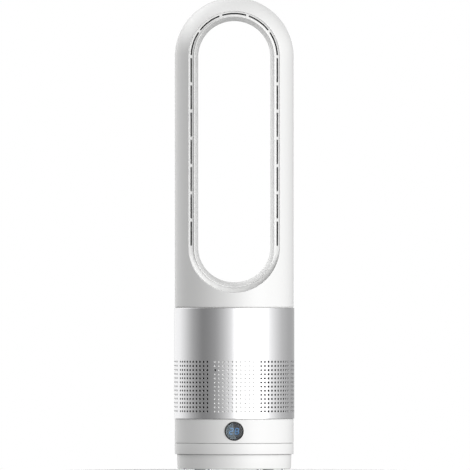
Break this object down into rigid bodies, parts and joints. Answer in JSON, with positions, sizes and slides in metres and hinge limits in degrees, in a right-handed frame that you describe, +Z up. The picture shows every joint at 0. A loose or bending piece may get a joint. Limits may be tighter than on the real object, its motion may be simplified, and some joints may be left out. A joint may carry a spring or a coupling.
{
  "type": "tower fan",
  "caption": "Bladeless tower fan: round base, swinging column with perforated metal intake sleeve and round display, tall slotted air loop on top.",
  "frame": {"origin": "bottom centre, on the floor under the feet and on the axis of the column", "axes": "+Z up along the column, -Y out of the front with the display, +X to the viewer's right"},
  "size_m": [0.2068, 0.2068, 0.8137],
  "materials": {
    "white_shell": "smooth satin-gloss white",
    "brushed_sleeve": "fine satin brushed, perforated",
    "steel_parts": "plain",
    "screw_steel": "zinc plated",
    "foot_rubber": "matte",
    "soft_seal": "matte foam rubber",
    "dark_plastic": "fine texture",
    "joint_ring": "matte",
    "black_gloss": "polished",
    "smoked_lens": "polished",
    "display_face": "matte",
    "acetal": "self-lubricating",
    "brass_parts": "plain",
    "board_green": "solder mask",
    "component_black": "moulded",
    "inner_white": "moulded",
    "filter_paper": "pleated paper",
    "prefilter_mesh": "fine mesh",
    "impeller_plastic": "glass-filled",
    "copper_winding": "enamelled winding",
    "magnet": "nickel plated"
  },
  "bodies": {
    "base": {"base_pan": "white_shell", "base_plate": "dark_plastic", "ballast_plate": "steel_parts", "rubber_feet": "foot_rubber", "base_screws": "screw_steel", "power_inlet": "dark_plastic", "inlet_pins": "brass_parts", "glide_ring": "acetal", "swing_gear": "acetal", "gear_screws": "screw_steel"},
    "column": {"swing_motor": "steel_parts", "swing_motor_screws": "screw_steel", "turntable": "white_shell", "turntable_screws": "screw_steel", "display_housing": "white_shell", "led_display": "display_face", "display_board": "board_green", "push_switches": "component_black", "main_board": "board_green", "board_components": "component_black", "board_screws": "screw_steel", "chassis": "inner_white", "front_sleeve": "brushed_sleeve", "ir_receiver": "black_gloss", "side_prefilters": "prefilter_mesh", "intake_cage": "dark_plastic", "catch_plates": "steel_parts", "isolation_ring": "soft_seal", "blower_bucket": "dark_plastic", "motor_stator": "copper_winding", "motor_housing": "steel_parts", "motor_bearings": "steel_parts", "motor_sleeve": "soft_seal", "diffuser": "dark_plastic", "motor_cap": "dark_plastic", "diffuser_gasket": "soft_seal", "terminal_block": "component_black", "motor_lead": "soft_seal", "adapter_ring": "joint_ring", "adapter_screws": "screw_steel", "loop_front_shell": "white_shell", "loop_rear_shell": "white_shell", "slot_ring": "white_shell", "nozzle_liner": "white_shell", "duct_vanes": "inner_white", "loop_screws": "screw_steel"},
    "swing_pinion": {"swing_pinion": "acetal", "swing_shaft": "steel_parts"},
    "display_button": {"display_ring": "black_gloss", "display_lens": "smoked_lens"},
    "rear_cover": {"rear_cover": "brushed_sleeve", "cover_frame": "inner_white", "cover_magnets": "magnet", "filter_frame": "inner_white", "filter_media": "filter_paper", "filter_seals": "soft_seal"},
    "impeller": {"impeller": "impeller_plastic", "impeller_nut": "brass_parts", "motor_shaft": "steel_parts", "motor_rotor": "magnet"}
  },
  "joints": [
    {"name": "oscillation", "type": "hinge", "parent": "base", "child": "column", "pos_m": [0, 0, 0.032], "axis": [0, 0, 1], "range_deg": [-40, 40]},
    {"name": "swing_pinion", "type": "hinge", "parent": "column", "child": "swing_pinion", "pos_m": [0, 0.045, 0.036], "axis": [0, 0, 1], "range_deg": [-162, 162]},
    {"name": "display_press", "type": "slide", "parent": "column", "child": "display_button", "axis": [0, 1, 0], "range_m": [0, 0.0008], "stiffness_N_per_m": 1500},
    {"name": "rear_cover_pull", "type": "slide", "parent": "column", "child": "rear_cover", "axis": [0, 1, 0], "range_m": [0, 0.15]},
    {"name": "impeller_spin", "type": "hinge", "parent": "column", "child": "impeller", "pos_m": [0, 0, 0.24], "axis": [0, 0, 1], "continuous": true}
  ],
  "couplings": [
    {"joint": "swing_pinion", "follows": "oscillation", "ratio": 4}
  ]
}
